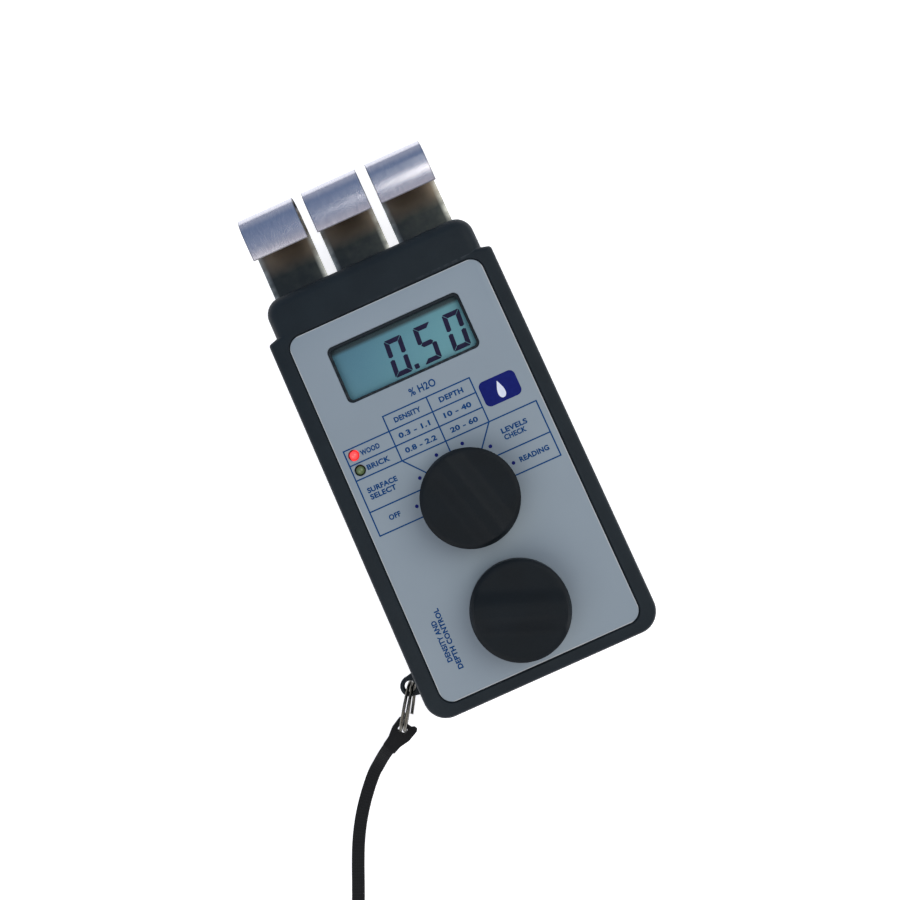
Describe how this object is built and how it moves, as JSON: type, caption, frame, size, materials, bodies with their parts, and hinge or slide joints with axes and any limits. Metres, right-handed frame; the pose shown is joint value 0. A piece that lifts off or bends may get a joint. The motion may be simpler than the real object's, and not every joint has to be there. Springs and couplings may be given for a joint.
{
  "type": "moisture meter",
  "caption": "Hand-held contact moisture meter: black case with sprung contact strips at its head, a grey panel with a numeric display, rotary knobs and a wrist strap.",
  "frame": {"origin": "middle of the flat back, which lies on the surface", "axes": "+Z out of the front panel, +Y towards the contact strips, +X to the right as the panel is read"},
  "size_m": [0.1479, 0.2872, 0.048],
  "materials": {
    "case_black": "fine moulded texture",
    "panel_grey": "printed satin foil",
    "knob_black": "smooth satin",
    "spring_steel": "rolled and polished",
    "screw_steel": "plated",
    "brass": "nickel-free turned brass",
    "display_face": "polariser over glass",
    "part_black": "moulded",
    "contact_rubber": "soft",
    "board_green": "solder mask",
    "part_blue": "moulded",
    "led_red": "clear tinted resin, lit",
    "led_green": "clear tinted resin, unlit",
    "battery_wrap": "printed film",
    "red_wire": "insulation",
    "black_wire": "insulation",
    "strap_webbing": "woven nylon"
  },
  "bodies": {
    "case": {"amplifier_chip": "part_black", "battery": "battery_wrap", "battery_clip": "part_black", "black_lead": "black_wire", "board_screw_1": "screw_steel", "board_screw_2": "screw_steel", "board_screw_3": "screw_steel", "board_screw_4": "screw_steel", "building_led": "led_green", "carrier_screw_left": "screw_steel", "carrier_screw_right": "screw_steel", "case_screw_1": "screw_steel", "case_screw_2": "screw_steel", "case_screw_3": "screw_steel", "case_screw_4": "screw_steel", "circuit_board": "board_green", "converter_chip": "part_black", "display_contact_lower": "contact_rubber", "display_contact_upper": "contact_rubber", "display_glass": "display_face", "display_holder": "part_black", "front_panel": "panel_grey", "front_shell": "case_black", "level_control": "part_black", "level_nut": "brass", "mode_nut": "brass", "mode_switch": "part_black", "oscillator_coil": "brass", "range_trimmer": "part_blue", "rear_shell": "case_black", "red_lead": "red_wire", "reference_chip": "part_black", "smoothing_capacitor": "part_blue", "strip_carrier": "part_black", "strip_terminal_left": "brass", "strip_terminal_middle": "brass", "strip_terminal_right": "brass", "wood_led": "led_red", "zero_trimmer": "part_blue"},
    "mode_control": {"mode_knob": "knob_black", "mode_shaft": "screw_steel"},
    "level_setting": {"level_knob": "knob_black", "level_shaft": "screw_steel"},
    "strip_left": {"contact_strip_left": "spring_steel"},
    "strip_middle": {"contact_strip_middle": "spring_steel"},
    "strip_right": {"contact_strip_right": "spring_steel"},
    "door": {"battery_door": "case_black"},
    "strap": {"split_ring": "spring_steel", "strap_end": "strap_webbing", "wrist_strap": "strap_webbing", "strap_coil": "strap_webbing", "strap_clip": "part_black"}
  },
  "joints": [
    {"name": "mode_turn", "type": "hinge", "parent": "case", "child": "mode_control", "pos_m": [0.0004, -0.0126, 0.0367], "axis": [0, 0, 1], "range_deg": [-90, 60]},
    {"name": "level_turn", "type": "hinge", "parent": "case", "child": "level_setting", "pos_m": [0.0004, -0.0507, 0.0367], "axis": [0, 0, 1], "range_deg": [-150, 150]},
    {"name": "strip_left_flex", "type": "hinge", "parent": "case", "child": "strip_left", "pos_m": [-0.0234, 0.0702, 0.02315], "axis": [1, 0, 0], "range_deg": [-4, 4], "stiffness_Nm_per_rad": 1.3},
    {"name": "strip_middle_flex", "type": "hinge", "parent": "case", "child": "strip_middle", "pos_m": [-0.0003, 0.0702, 0.02315], "axis": [1, 0, 0], "range_deg": [-4, 4], "stiffness_Nm_per_rad": 1.3},
    {"name": "strip_right_flex", "type": "hinge", "parent": "case", "child": "strip_right", "pos_m": [0.0228, 0.0702, 0.02315], "axis": [1, 0, 0], "range_deg": [-4, 4], "stiffness_Nm_per_rad": 1.3},
    {"name": "door_slide", "type": "slide", "parent": "case", "child": "door", "axis": [0, -1, 0], "range_m": [0, 0.06]},
    {"name": "strap_swing", "type": "hinge", "parent": "case", "child": "strap", "pos_m": [-0.0446, -0.0617, 0.0153], "axis": [0, 0, 1], "range_deg": [-45, 15]}
  ]
}
